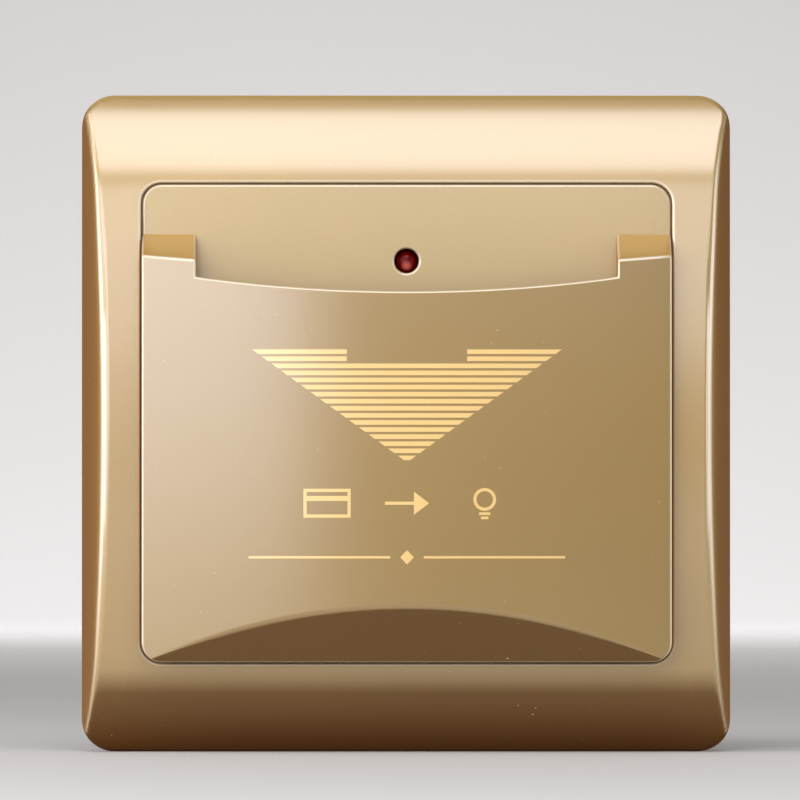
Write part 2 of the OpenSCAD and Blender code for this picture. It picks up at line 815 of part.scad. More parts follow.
// Return spring: a coil round the pin with one leg on the plate and one under the paddle
coil_steps = spring_turns * spring_rings;
coil_points = [
    for (i = [-spring_rings / 4:coil_steps]) let (a = 360 * i / spring_rings)
        [coil_out - spring_pitch * i / spring_rings, -pivot_h - coil_r * sin(a), pivot_z - coil_r * cos(a)]
];
leg_lift = spring_wire / 2 + 0.05;
plate_leg = [
    for (rise = [window_top + 1.5, window_top + 0.4]) [coil_points[0].x, -base_t - leg_lift, rise]
];
function under_paddle(height) = root_z
    + (height - root_h) * (arm_top - arm_t - root_z) / (paddle_h - root_h) - leg_lift - 0.1;
paddle_leg = [for (height = [root_h + 0.5, root_h + 3]) [coil_in, -height, under_paddle(height)]];
spring_points = concat(plate_leg, coil_points, paddle_leg);

function heading(points, i) = let (
        d = points[min(i + 1, len(points) - 1)] - points[max(i - 1, 0)]
    )
    d / norm(d);

function ring(points, i, r, sides) = let (
        d = heading(points, i),
        u = cross(d, [0.2, 0.1, 1]) / norm(cross(d, [0.2, 0.1, 1])),
        v = cross(d, u)
    )
    [for (k = [0:sides - 1]) points[i] + r * (u * cos(360 * k / sides) + v * sin(360 * k / sides))];

module tube(points, r, sides) {
    n = len(points);
    rings = [for (i = [0:n - 1]) each ring(points, i, r, sides)];
    walls = [for (i = [0:n - 2]) for (k = [0:sides - 1]) let (
            a = i * sides + k,
            b = i * sides + (k + 1) % sides
        )
        each [[a, b, b + sides], [a, b + sides, a + sides]]];
    ends = [for (k = [1:sides - 2]) each [
        [0, k + 1, k],
        [(n - 1) * sides, (n - 1) * sides + k, (n - 1) * sides + k + 1]
    ]];
    polyhedron(points = rings, faces = [for (f = concat(walls, ends)) [f[2], f[1], f[0]]]);
}

module lever_spring() {
    color("#b9bbc0") tube(spring_points, spring_wire / 2, spring_sides);
}

// Four brass blocks, each with a wire hole from behind, a screw hole from below and a strip to the board
module terminal_blocks() {
    color("#c9a24a") for (x = terminal_x) difference() {
        union() {
            box_back(x, terminal_top - terminal_h, terminal_w, terminal_h,
                housing_back - terminal_l, housing_back);
            box_back(x, terminal_top - terminal_h / 2 - strip_t / 2, strip_w, strip_t,
                board_y - strip_tail, housing_back - terminal_l + over);
        }
        bar_back(x, wire_z, wire_d / 2, housing_back - wire_depth, housing_back + over);
        translate([x, clamp_y, terminal_top - terminal_h - over])
            cylinder(d = clamp_d + 2 * running_gap, h = wire_z - terminal_top + terminal_h + over);
    }
}

// Slotted screw that clamps the wire from below
module terminal_screw(i) {
    slot_w = 0.7;
    color("silver") difference() {
        translate([terminal_x[i], clamp_y, clamp_end]) cylinder(d = clamp_d, h = clamp_tip - clamp_end);
        translate([terminal_x[i] - clamp_d, clamp_y - slot_w / 2, clamp_end - over])
            cube([2 * clamp_d, slot_w, over + 0.9]);
    }
}

echo(spring_gap_mm = spring_gap);

bezel();
card_guide();
pocket_cover();
front_screws();
mounting_plate();
rear_housing();
housing_screws();
circuit_board();
board_screws();
relay_case();
relay_base();
film_capacitor();
smoothing_capacitor();
rectifier_diodes();
resistors();
varistor();
transistor();
indicator_led();
led_spacer();
led_leads();
switch_case();
switch_lid();
switch_contacts();
switch_plunger();
contact_blade();
card_lever();
lever_pin();
lever_spring();
terminal_blocks();
terminal_screw(0);  // terminal_screw_1
terminal_screw(1);  // terminal_screw_2
terminal_screw(2);  // terminal_screw_3
terminal_screw(3);  // terminal_screw_4
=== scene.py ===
import math

import bpy
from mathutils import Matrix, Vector


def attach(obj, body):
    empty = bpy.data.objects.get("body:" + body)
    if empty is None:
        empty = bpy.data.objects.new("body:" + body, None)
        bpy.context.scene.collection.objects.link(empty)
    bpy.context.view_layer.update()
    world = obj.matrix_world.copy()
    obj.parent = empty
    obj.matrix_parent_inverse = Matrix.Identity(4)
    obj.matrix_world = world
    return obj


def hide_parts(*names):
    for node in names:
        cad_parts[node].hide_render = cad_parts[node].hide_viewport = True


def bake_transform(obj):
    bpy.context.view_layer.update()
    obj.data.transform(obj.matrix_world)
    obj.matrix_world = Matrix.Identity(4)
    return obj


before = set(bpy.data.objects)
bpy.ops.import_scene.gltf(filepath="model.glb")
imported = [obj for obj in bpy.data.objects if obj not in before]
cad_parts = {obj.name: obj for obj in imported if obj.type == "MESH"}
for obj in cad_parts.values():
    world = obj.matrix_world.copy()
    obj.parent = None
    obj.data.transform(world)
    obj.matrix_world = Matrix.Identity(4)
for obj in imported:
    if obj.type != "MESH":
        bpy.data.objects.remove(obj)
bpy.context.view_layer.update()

bpy.context.scene.view_settings.view_transform = "Standard"

# Mounting plate: the ivory moulding that two screws hold on the wall box. All the rest hangs on it.
# Injection-moulded fire-proof plastic with a fine grain from the mould, its edges broken by a small round.
MM = 0.001
plate_ivory = (226, 219, 201)
plate_edge = 0.25
edge_angle = math.radians(38)
flat_angle = math.radians(1)
weld_gap = 0.001
cloud_scale = 110
pit_scale = 3200
pit_height = 0.02


def srgb(colour, gain=1.0):
    """A colour as a screen shows it, 0 to 255, in the linear numbers that a shader takes."""
    levels = []
    for level in colour:
        share = level / 255
        if share <= 0.04045:
            levels.append(gain * share / 12.92)
        else:
            levels.append(gain * ((share + 0.055) / 1.055) ** 2.4)
    return (*levels, 1.0)


class Value:
    """A socket of a material, used like a number in expressions."""

    def __init__(self, tree, socket):
        self.tree = tree
        self.socket = socket

    def node(self, kind, settings, inputs, output=0):
        """Any node: its settings first, then the numbers or links of its sockets."""
        made = self.tree.nodes.new(kind)
        for key, setting in settings.items():
            if key == "stops":
                ramp = made.color_ramp.elements
                while len(ramp) < len(setting):
                    ramp.new(1.0)
                for element, (position, level) in zip(ramp, setting):
                    element.position = position
                    element.color = (level, level, level, 1.0)
            else:
                setattr(made, key, setting)
        for key, value in inputs.items():
            if isinstance(value, Value):
                self.tree.links.new(value.socket, made.inputs[key])
            else:
                made.inputs[key].default_value = value
        return Value(self.tree, made.outputs[output])

    def math(self, operation, first, second=0.0):
        return self.node("ShaderNodeMath", {"operation": operation}, {0: first, 1: second})

    def __add__(self, other):
        return self.math("ADD", self, other)

    __radd__ = __add__

    def __sub__(self, other):
        return self.math("SUBTRACT", self, other)

    def __rsub__(self, other):
        return self.math("SUBTRACT", other, self)

    def __mul__(self, other):
        return self.math("MULTIPLY", self, other)

    __rmul__ = __mul__

    def __gt__(self, other):
        return self.math("GREATER_THAN", self, other)

    def __lt__(self, other):
        return self.math("LESS_THAN", self, other)

    def noise(self, scale, detail=2.0):
        """Soft blotches at this place, so many to the metre."""
        return self.node("ShaderNodeTexNoise", {}, {"Vector": self, "Scale": scale, "Detail": detail})

    def ramp(self, *stops):
        return self.node("ShaderNodeValToRGB", {"stops": stops}, {"Fac": self})

    def mix(self, low, high):
        """The first colour where this is 0, the second where it is 1."""
        return self.node("ShaderNodeMix", {"data_type": "RGBA"}, {0: self, 6: low, 7: high}, 2)

    def bump(self, strength, height):
        """This as relief on the surface, so many millimetres high."""
        inputs = {"Strength": strength, "Distance": height * MM, "Height": self}
        return self.node("ShaderNodeBump", {}, inputs)

    def axis(self, index):
        """One of the three numbers of a place, in metres."""
        return self.node("ShaderNodeSeparateXYZ", {}, {"Vector": self}, index)


def new_finish(name, constants):
    """A material, its shader and the place on the object that its patterns read."""
    material = bpy.data.materials.new(name)
    material.use_nodes = True
    tree = material.node_tree
    shader = tree.nodes["Principled BSDF"]
    for key, value in constants.items():
        shader.inputs[key].default_value = value
    coordinates = tree.nodes.new("ShaderNodeTexCoord")
    return material, shader, Value(tree, coordinates.outputs["Object"])


def feed(shader, values):
    """Links what changes over the surface to the shader."""
    for key, value in values.items():
        value.tree.links.new(value.socket, shader.inputs[key])


def moulded(name, colour, roughness, grain):
    """Moulded plastic: a slightly uneven tone and the grain of its mould."""
    material, shader, place = new_finish(name, {})
    cloud = place.noise(cloud_scale, 3.0)
    pits = place.noise(pit_scale, 2.0)
    feed(shader, {
        "Base Color": cloud.mix(srgb(colour, 0.9), srgb(colour, 1.07)),
        "Roughness": roughness - 0.07 + 0.1 * cloud + 0.06 * pits,
        "Normal": pits.bump(grain, pit_height),
    })
    return material


def pick(piece):
    """Selects one object and nothing else."""
    bpy.ops.object.select_all(action="DESELECT")
    piece.select_set(True)
    bpy.context.view_layer.objects.active = piece


def add_modifier(piece, kind, settings):
    """Adds a modifier and applies it."""
    pick(piece)
    bpy.ops.object.modifier_add(type=kind)
    modifier = piece.modifiers[-1]
    for key, value in settings.items():
        setattr(modifier, key, value)
    bpy.ops.object.modifier_apply(modifier=modifier.name)


def smooth(piece):
    """Shades round faces smooth and keeps flat ones flat."""
    pick(piece)
    bpy.ops.object.shade_smooth_by_angle(angle=edge_angle)
    add_modifier(piece, "WEIGHTED_NORMAL", {"keep_sharp": True})


def round_over(piece, width, segments=2):
    """Breaks every sharp edge by a small round."""
    add_modifier(piece, "BEVEL", {
        "width": width * MM, "segments": segments, "limit_method": "ANGLE",
        "angle_limit": edge_angle, "use_clamp_overlap": True,
    })
    smooth(piece)


def give_finish(piece, material):
    """Gives a new piece its only material."""
    piece.data.materials.clear()
    piece.data.materials.append(material)


def dress(piece, material, body):
    """Gives a new piece its finish and the body that it moves with."""
    give_finish(piece, material)
    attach(piece, body)


def clean(piece, angle):
    """Welds points that lie together, and joins faces that turn by less than an angle."""
    pick(piece)
    bpy.ops.object.mode_set(mode="EDIT")
    bpy.ops.mesh.select_all(action="SELECT")
    bpy.ops.mesh.remove_doubles(threshold=weld_gap * MM)
    bpy.ops.mesh.dissolve_limited(angle_limit=angle)
    bpy.ops.object.mode_set(mode="OBJECT")


def eased_copy(node, edge, segments=2):
    """A copy of a solid, in place of the solid, with its edges rounded."""
    piece = bpy.data.objects.new(f"{node}_eased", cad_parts[node].data.copy())
    bpy.context.collection.objects.link(piece)
    clean(piece, flat_angle)
    round_over(piece, edge, segments)
    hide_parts(node)
    return piece


def eased(node, edge, material, body="base", segments=2):
    """A solid's eased copy, dressed to move with a body."""
    dress(eased_copy(node, edge, segments), material, body)


def paint(material, *nodes):
    """Gives solids that keep their shape their finish."""
    for node in nodes:
        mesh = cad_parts[node].data
        mesh.materials.clear()
        mesh.materials.append(material)


ivory_plastic = moulded("ivory_plastic", plate_ivory, 0.5, 0.25)
eased("mounting_plate", plate_edge, ivory_plastic)

# Circuit board and its screws: a glass-fibre board under a green solder mask, on the plate's standoffs.
# The screws are zinc-plated steel, cold-headed with a cross recess.
mask_green = (30, 92, 52)
weave_scale = 700.0
land_scale = 340.0
land_least = 0.45
streak_scale = 420
rub_scale = 5200
rub_height = 0.006
zinc_grey = (186, 189, 192)
screw_edge = 0.12


def solder_mask(name, colour):
    """Solder mask over a weave of glass, paler over the copper lands."""
    material, shader, place = new_finish(name, {"Coat Weight": 0.3, "Coat Roughness": 0.2})
    weave = place.node(
        "ShaderNodeTexWave", {"bands_direction": "Z"}, {"Vector": place, "Scale": weave_scale})
    lands = place.node(
        "ShaderNodeTexVoronoi", {"distance": "CHEBYCHEV"}, {"Vector": place, "Scale": land_scale}, "Color")
    copper = lands.axis(0) > land_least
    feed(shader, {
        "Base Color": copper.mix(srgb(colour, 0.94), srgb(colour, 1.1)),
        "Roughness": 0.35 + 0.1 * weave,
        "Normal": (0.5 * weave + copper).bump(0.3, 0.03),
    })
    return material


def bright_metal(name, colour, roughness):
    """Plated or bare metal: a clean tone with faint streaks and a fine rub."""
    material, shader, place = new_finish(name, {"Metallic": 1.0})
    streaks = place.noise(streak_scale, 3.0)
    rub = place.noise(rub_scale, 1.0)
    feed(shader, {
        "Base Color": streaks.mix(srgb(colour, 0.88), srgb(colour, 1.05)),
        "Roughness": roughness - 0.06 + 0.12 * streaks + 0.05 * rub,
        "Normal": rub.bump(0.3, rub_height),
    })
    return material


paint(solder_mask("board_green", mask_green), "circuit_board")
screw_steel = bright_metal("screw_steel", zinc_grey, 0.28)
eased("board_screws", screw_edge, screw_steel)

# Relay: a sealed blue case of glass-filled plastic, glued on its black base and soldered to the board.
# It carries the room's load, so it is the largest thing on the board.
relay_colour = (38, 58, 104)
black_colour = (38, 38, 40)
relay_edge = 0.35
relay_base_edge = 0.15
relay_blue = moulded("relay_blue", relay_colour, 0.3, 0.12)
black_plastic = moulded("black_plastic", black_colour, 0.46, 0.3)
eased("relay_case", relay_edge, relay_blue, segments=3)
eased("relay_base", relay_base_edge, black_plastic)

# Capacitors: a boxed film capacitor in a red moulding, and a round can in a dark shrink sleeve.
# Both stand on the board on leads soldered from the front.
film_colour = (150, 44, 38)
sleeve_colour = (36, 42, 66)
film_edge = 0.4
can_edge = 0.4
film_red = moulded("film_red", film_colour, 0.34, 0.15)
can_sleeve = moulded("can_sleeve", sleeve_colour, 0.24, 0.06)
eased("film_capacitor", film_edge, film_red, segments=3)
eased("smoothing_capacitor", can_edge, can_sleeve, segments=3)

# Small parts on the board: four diodes, two resistors, a varistor and a transistor on bent tinned leads.
# The bodies are moulded or dipped, and the rings round them are paint.
ring_half = 0.35
diode_half = 2.6
diode_colour = (34, 34, 36)
diode_rings = ((1.6, (190, 192, 194)),)
resistor_half = 3.2
resistor_x = 8.5
resistor_colour = (198, 164, 108)
resistor_rings = ((-2.0, (120, 62, 30)), (-0.9, (24, 22, 22)), (0.3, (190, 60, 30)), (2.1, (196, 150, 60)))
varistor_colour = (40, 84, 150)
tin_colour = (196, 197, 195)
speckle_scale = 600
speckle_height = 0.02
paint_end = 0.02


def leaded(name, colour, roughness, half, offset, rings):
    """An axial part: a painted body with rings round it, and tinned leads beyond its ends."""
    material, shader, place = new_finish(name, {})
    across = place.axis(0)
    if offset:
        across = across.math("ABSOLUTE", across) - offset * MM
    speckle = place.noise(speckle_scale, 2.0)
    tone = speckle.mix(srgb(colour, 0.92), srgb(colour, 1.06))
    for middle, ring_colour in rings:
        shift = across - middle * MM
        ring = shift.math("ABSOLUTE", shift) < ring_half * MM
        tone = ring.mix(tone, srgb(ring_colour))
    lead = across.math("ABSOLUTE", across) > (half + paint_end) * MM
    feed(shader, {
        "Base Color": lead.mix(tone, srgb(tin_colour)),
        "Metallic": lead,
        "Roughness": roughness - 0.06 + 0.12 * speckle,
        "Normal": speckle.bump(0.2, speckle_height),
    })
    return material


diode_black = leaded("diode_black", diode_colour, 0.4, diode_half, 0.0, diode_rings)
resistor_tan = leaded("resistor_tan", resistor_colour, 0.35, resistor_half, resistor_x, resistor_rings)
paint(diode_black, "rectifier_diodes")
paint(resistor_tan, "resistors")
paint(moulded("varistor_blue", varistor_colour, 0.3, 0.3), "varistor")
paint(black_plastic, "transistor")

# Microswitch: a small black case with its lid, three bronze contacts on their legs, the springy blade
# and the red plunger that lifts it. The case is moulded, and the contacts are stamped strip.
bronze_colour = (196, 152, 84)
plunger_colour = (178, 48, 38)
switch_case_edge = 0.12
switch_lid_edge = 0.15
contact_bronze = bright_metal("contact_bronze", bronze_colour, 0.3)
eased("switch_case", switch_case_edge, black_plastic)
eased("switch_lid", switch_lid_edge, black_plastic)
paint(contact_bronze, "switch_contacts", "contact_blade")
paint(moulded("plunger_red", plunger_colour, 0.4, 0.15), "switch_plunger")

# Card lever: a white rocking paddle on a steel pin. The card pushes the paddle, and the rear arm works the
# switch. A spring of steel wire round the pin winds up as the lever rocks, and lifts it again.
lever_colour = (232, 228, 218)
lever_edge = 0.25
pin_edge = 0.1
wire_edge = 0.05
lever_white = moulded("lever_white", lever_colour, 0.42, 0.2)
eased("card_lever", lever_edge, lever_white, "lever", 3)
eased("lever_pin", pin_edge, screw_steel)
spring = eased_copy("lever_spring", wire_edge)
give_finish(spring, screw_steel)
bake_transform(spring)

# Terminals: four brass blocks drilled for the wires, each with a slotted steel screw that clamps from
# below. The blocks are cut from bar, and a strip joins each to the board.
brass_colour = (208, 168, 88)
block_edge = 0.2
terminal_brass = bright_metal("terminal_brass", brass_colour, 0.3)
eased("terminal_blocks", block_edge, terminal_brass)
for number in range(1, 5):
    eased(f"terminal_screw_{number}", screw_edge, screw_steel, f"clamp_{number}")

# Rear housing: the deep black box in the wall, moulded with its screw pillars and the ribs between
# terminals. Four steel screws through the plate hold it.
housing_edge = 0.45
eased("rear_housing", housing_edge, black_plastic, segments=3)
eased("housing_screws", screw_edge, screw_steel)

# Indicator lamp: a red epoxy lens turned up to a dome, cast round two tinned leads, on a black spacer tube.
# It stands in a hole of the card guide, a little below the face.
lamp_level = 21.4
lamp_r = 1.53
lamp_top = 6.6
flange_r = 1.9
flange_low = 2.3
flange_high = 3.1
flange_break = 0.1
neck_break = 0.05
spacer_edge = 0.15
lamp_red = (112, 4, 6)
# A painted highlight: a rose patch low in the lens, its drop and its inner and outer reach.
lens_highlight_rose = (212, 104, 92)
lens_highlight_drop = 0.75
lens_highlight_inner = 0.3
lens_highlight_outer = 0.85
haze_scale = 900
around = 48
dome_steps = 12
seam_gap = 0.0005


def wrap(name, rings):
    """A skin through a stack of rings of points, each [x, height above the wall, level] in millimetres."""
    count = len(rings[0])
    bpy.ops.object.select_all(action="DESELECT")
    bpy.ops.mesh.primitive_grid_add(x_subdivisions=count, y_subdivisions=len(rings) - 1, size=1)
    skin = bpy.context.object
    skin.name = name
    for vertex in skin.data.vertices:
        column = round((vertex.co.x + 0.5) * count) % count
        row = round((vertex.co.y + 0.5) * (len(rings) - 1))
        x, height, level = rings[row][column]
        vertex.co = Vector((x, -height, level)) * MM
    bpy.ops.object.mode_set(mode="EDIT")
    bpy.ops.mesh.select_all(action="SELECT")
    bpy.ops.mesh.remove_doubles(threshold=seam_gap * MM)
    bpy.ops.mesh.normals_make_consistent(inside=False)
    bpy.ops.object.mode_set(mode="OBJECT")
    return skin


def circle_ring(x, level, radius, height):
    """A ring of points square to the wall."""
    turns = [math.tau * step / around for step in range(around)]
    return [(x + radius * math.cos(turn), height, level + radius * math.sin(turn)) for turn in turns]


def epoxy(name, colour):
    """Clear tinted epoxy, dark, with a painted rose highlight low in the lens."""
    material, shader, place = new_finish(name, {"Transmission Weight": 0.1, "IOR": 1.28})
    haze = place.noise(haze_scale, 2.0)
    # Painted highlight: a rose patch round a point low in the lens.
    middle = (0.0, -lamp_top * MM, (lamp_level - lens_highlight_drop) * MM)
    reach = place.node("ShaderNodeVectorMath", {"operation": "DISTANCE"}, {0: place, 1: middle}, "Value")
    lens_highlight = (reach * (1 / MM)).ramp((lens_highlight_inner, 1.0), (lens_highlight_outer, 0.0))
    tone = haze.mix(srgb(colour, 0.7), srgb(colour, 1.1))
    feed(shader, {
        "Base Color": lens_highlight.mix(tone, srgb(lens_highlight_rose)),
        "Roughness": 0.1 + 0.06 * haze,
    })
    return material


lamp_profile = [
    (0.0, flange_low), (flange_r - flange_break, flange_low), (flange_r, flange_low + flange_break),
    (flange_r, flange_high - flange_break), (flange_r - flange_break, flange_high),
    (lamp_r + neck_break, flange_high), (lamp_r, flange_high + neck_break),
]
for step in range(dome_steps + 1):
    rise = math.radians(90) * step / dome_steps
    lamp_profile.append((lamp_r * math.cos(rise), lamp_top - lamp_r + lamp_r * math.sin(rise)))
lens = wrap("indicator_lens", [circle_ring(0, lamp_level, r, height) for r, height in lamp_profile])
smooth(lens)
led_red = epoxy("led_red", lamp_red)
dress(lens, led_red, "base")
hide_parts("indicator_led")
paint(bright_metal("lead_tin", tin_colour, 0.25), "led_leads")
eased("led_spacer", spacer_edge, black_plastic)

# Bezel: the square faceplate, moulded in one with its rolled top and bottom, leaning flanks, the wall
# round its opening, the ledge behind it and the snap posts. It is sprayed with champagne-gold lacquer, with
# a weaker clear coat on the flanks and where a face turns down; its colour carries painted shade there, a
# painted highlight where a face turns up, and painted highlight lines along the rims and the crease.
plate_w = 86.0
plate_h = 87.0
plate_r = 4.4
least_r = 1.0
crown_h = 9.0
crown_r = 260.0
roll_r = 24.0
roll_run = 13.0
side_edge_h = 1.2
flank_lean = 0.41
flank_belly = 1.17
bezel_wall = 2.0
crease_blend = 1.3
crease_line = 0.3
crease_reach = 4.6
rim_round = 0.55
rear_break = 0.2
inner_insets = (bezel_wall, 2.4, 3.0, 4.0, 5.0)
inner_shares = (0.35, 0.7, 1.0)
opening_w = 70.6
opening_h = 63.8
opening_r = 3.0
lip_round = 0.3
lip_share = 0.02
lacquer_build = 0.22
ledge_w = 1.8
ledge_front = 5.4
ledge_back = 4.1
post_r = 2.0
post_x = 37.0
post_level = 35.0
post_tip = 0.4
lug_r = 3.05
lug_step = 0.03
screw_hole_r = 1.15
screw_x = 31.325
screw_levels = (16.9, -23.15)
wall_screw_x = 30.15
wall_screw_room = 4.7
tool_over = 1.0
touch = 0.01
corner_steps = 12
side_steps = 56
round_steps = 6
crease_rings = 26
face_rings = 28
face_gold = (188, 155, 88)
# Painted shade: the brown that faces turned sideways take.
flank_shade_gold = (158, 110, 59)
# Painted highlight: the pale tone along the rims and the crease.
rim_highlight_gold = (216, 194, 154)
dust_gold = (196, 170, 118)
# Painted shade: the shares of the colour left where a face turns down.
down_shade_share = (0.56, 0.42, 0.28)
# Painted highlight: the gain on the colour where a face turns up.
up_highlight_gain = 1.5
edge_tint = (0.9, 0.62, 0.36, 1.0)
lacquer_scale = 38
flake_scale = 6500
peel_scale = 850
peel_height = 0.02
dust_scale = 2400

roll_start = plate_h / 2 - roll_run
crown_angle = math.asin(roll_start / crown_r)
roll_level = (crown_r - roll_r) * math.sin(crown_angle)
roll_height = crown_h - crown_r + (crown_r - roll_r) * math.cos(crown_angle)


def rounded_ring(half_w, half_h, radius):
    """Points round a rectangle with round corners, as many at every size."""
    arcs = []
    for quarter, (side, up) in enumerate(((1, 1), (-1, 1), (-1, -1), (1, -1))):
        turns = [math.radians(90) * (quarter + step / corner_steps) for step in range(corner_steps + 1)]
        middle_x = side * (half_w - radius)
        middle_z = up * (half_h - radius)
        arcs.append([(middle_x + radius * math.cos(t), middle_z + radius * math.sin(t)) for t in turns])
    ring = []
    for arc, following in zip(arcs, arcs[1:] + arcs[:1]):
        ring += arc
        for step in range(1, side_steps):
            share = step / side_steps
            ring.append(tuple(a + (b - a) * share for a, b in zip(arc[-1], following[0])))
    return ring


def opening_ring(grow):
    grow -= lacquer_build
    return rounded_ring(opening_w / 2 + grow, opening_h / 2 + grow, opening_r + grow)


def edge_ring(inset):
    return rounded_ring(plate_w / 2 - inset, plate_h / 2 - inset, max(plate_r - inset, least_r))


def between(first, second, share):
    return [tuple(a + (b - a) * share for a, b in zip(p, q)) for p, q in zip(first, second)]


def crowned(level, inset):
    """Height of the face seen from the side: a flat arch that rolls off at the top and bottom."""
    level = abs(level)
    if level <= roll_start:
        return crown_h - crown_r + math.sqrt((crown_r - inset) ** 2 - level ** 2)
    return roll_height + math.sqrt(max((roll_r - inset) ** 2 - (level - roll_level) ** 2, 0.0))


def flanked(x, inset):
    """Height of the leaning flank, which bellies a little."""
    run = plate_w / 2 - inset - abs(x)
    share = min(max(run / flank_lean / (crown_h - side_edge_h), 0.0), 1.0)
    return side_edge_h + run / flank_lean + flank_belly * 4 * share * (1 - share)


def face_height(x, level, inset=0.0):
    """Height of the faceplate's skin, where the leaning flanks meet the crown in a soft crease."""
    crown = crowned(level, inset)
    flank = flanked(x, inset)
    soft = max(crease_blend - abs(crown - flank), 0.0)
    return min(crown, flank) - soft ** 2 / (4 * crease_blend)


def on_face(ring, drop=0.0, inset=0.0):
    return [(x, face_height(x, level, inset) - drop, level) for x, level in ring]


def at_height(ring, height):
    return [(x, height, level) for x, level in ring]


def carve(piece, tool, operation="DIFFERENCE"):
    """Cuts a tool out of a piece, or adds it on, and clears the tool away."""
    add_modifier(piece, "BOOLEAN", {"operation": operation, "solver": "EXACT", "object": tool})
    bpy.data.objects.remove(tool)


def rod(x, level, radius, low, high, vertices=48):
    """A round bar square to the wall, between two heights above it."""
    bpy.ops.object.select_all(action="DESELECT")
    bpy.ops.mesh.primitive_cylinder_add(
        vertices=vertices, radius=radius * MM, depth=(high - low) * MM,
        location=(x * MM, -(low + high) / 2 * MM, level * MM), rotation=(math.radians(90), 0, 0))
    bpy.ops.object.transform_apply(location=True, rotation=True, scale=True)
    return bpy.context.object


def gold_lacquer(name, colour):
    """Champagne-gold lacquer under clear coat; its colour carries painted shade where a face turns sideways
    or down, and painted highlight where it turns up and along the rims.
    """
    material, shader, place = new_finish(name, {
        "Metallic": 0.6, "Specular Tint": edge_tint, "Coat Roughness": 0.21, "Coat IOR": 2.4,
    })
    cloud = place.noise(lacquer_scale, 2.0)
    flake = place.noise(flake_scale, 1.0)
    peel = place.noise(peel_scale, 2.0)
    dust = place.noise(dust_scale, 0.0).ramp((0.87, 0.0), (0.9, 1.0))
    rim = place.node("ShaderNodeAttribute", {"attribute_name": "rim"}, {}, "Fac")
    facing = place.node("ShaderNodeTexCoord", {}, {}, "Normal")
    sideways = facing.axis(0)
    # Painted shade on faces turned sideways.
    flank = sideways.math("ABSOLUTE", sideways).ramp((0.5, 0.0), (0.8, 0.45), (0.97, 1.0))
    # Painted shade where a face turns down.
    under = (0.0 - facing.axis(2)).ramp((0.2, 0.0), (0.33, 0.8), (0.62, 1.0))
    # Painted highlight where a face turns up.
    up_highlight = facing.axis(2).ramp((0.68, 0.0), (0.85, 1.0))
    steep = (1.0 + facing.axis(1)).ramp((0.3, 0.0), (0.5, 0.45))
    thin = under.math("MAXIMUM", under, flank.math("MAXIMUM", flank, steep))
    down_shade_tone = srgb([level * share for level, share in zip(colour, down_shade_share)])
    tone = (0.55 * cloud + 0.45 * flake).mix(srgb(colour, 0.86), srgb(colour, 1.12))
    tone = flank.mix(tone, srgb(flank_shade_gold))
    tone = up_highlight.mix(tone, srgb(colour, up_highlight_gain))
    # Painted highlight along the rims.
    tone = rim.mix(tone, srgb(rim_highlight_gold))
    # Painted shade where a face turns down, weaker on the rims.
    tone = (under * (1.0 - 0.8 * rim)).mix(tone, down_shade_tone)
    feed(shader, {
        "Base Color": dust.mix(tone, srgb(dust_gold)),
        "Roughness": 0.45 + 0.1 * flake + 0.05 * cloud,
        "Coat Weight": 1.0 - 0.96 * thin,
        "Normal": (peel + 0.25 * flake + 0.2 * dust).bump(0.22, peel_height),
    })
    return material


def mark_rim(piece, domain, levels):
    """Notes how far each point or face lies on a rim, for the lacquer's painted highlight."""
    piece.data.attributes.new("rim", "FLOAT", domain).data.foreach_set("value", levels)


face_shares = [lip_share] + [step / face_rings for step in range(2, face_rings)]
quarter_turns = [math.radians(90) * step / round_steps for step in range(round_steps + 1)]
rings = [at_height(opening_ring(0.0), ledge_front)]
for turn in quarter_turns:
    rings.append(on_face(opening_ring(lip_round * (1 - math.cos(turn))), lip_round * (1 - math.sin(turn))))
for share in face_shares:
    rings.append(on_face(between(opening_ring(lip_round), edge_ring(crease_reach), share)))
for step in range(crease_rings):
    rings.append(on_face(edge_ring(crease_reach + (rim_round - crease_reach) * step / crease_rings)))
for turn in quarter_turns:
    rings.append(on_face(edge_ring(rim_round * (1 - math.sin(turn))), rim_round * (1 - math.cos(turn))))
rings.append(at_height(edge_ring(0.0), rear_break))
rings.append(at_height(edge_ring(rear_break), 0.0))
rings.append(at_height(edge_ring(bezel_wall), 0.0))
for inset in inner_insets:
    rings.append(on_face(edge_ring(inset), inset=bezel_wall))
for share in inner_shares:
    inner = between(edge_ring(inner_insets[-1]), opening_ring(bezel_wall), share)
    rings.append(on_face(inner, inset=bezel_wall))
rings.append(at_height(opening_ring(bezel_wall), ledge_back))
rings.append(at_height(opening_ring(-ledge_w), ledge_back))
rings.append(at_height(opening_ring(-ledge_w), ledge_front))
rings.append(rings[0])
bezel = wrap("bezel_moulding", rings)
for x in (-post_x, post_x):
    for level in (-post_level, post_level):
        carve(bezel, rod(x, level, post_r, post_tip, face_height(x, level, bezel_wall / 2)), "UNION")
for x in (-screw_x, screw_x):
    for level in screw_levels:
        carve(bezel, rod(x, level, lug_r, ledge_back + lug_step, ledge_front - lug_step), "UNION")
        carve(bezel, rod(x, level, screw_hole_r, ledge_back - tool_over, ledge_front + tool_over))
for x in (-wall_screw_x, wall_screw_x):
    carve(bezel, rod(x, 0, wall_screw_room, ledge_back - tool_over, ledge_front + tool_over))


def bezel_rim(place):
    """How far a point lies on the round along the opening's lip, or on the crease."""
    x, depth, level = place / MM
    if -depth < face_height(x, level) - lip_round - touch:
        return 0.0
    reach_x = max(abs(x) - opening_w / 2 + opening_r, 0.0)
    reach_z = max(abs(level) - opening_h / 2 + opening_r, 0.0)
    if math.hypot(reach_x, reach_z) - opening_r + lacquer_build < lip_round + touch:
        return 1.0
    fold = abs(crowned(level, 0.0) - flanked(x, 0.0))
    return min(max(1.5 - fold / crease_line, 0.0), 1.0)


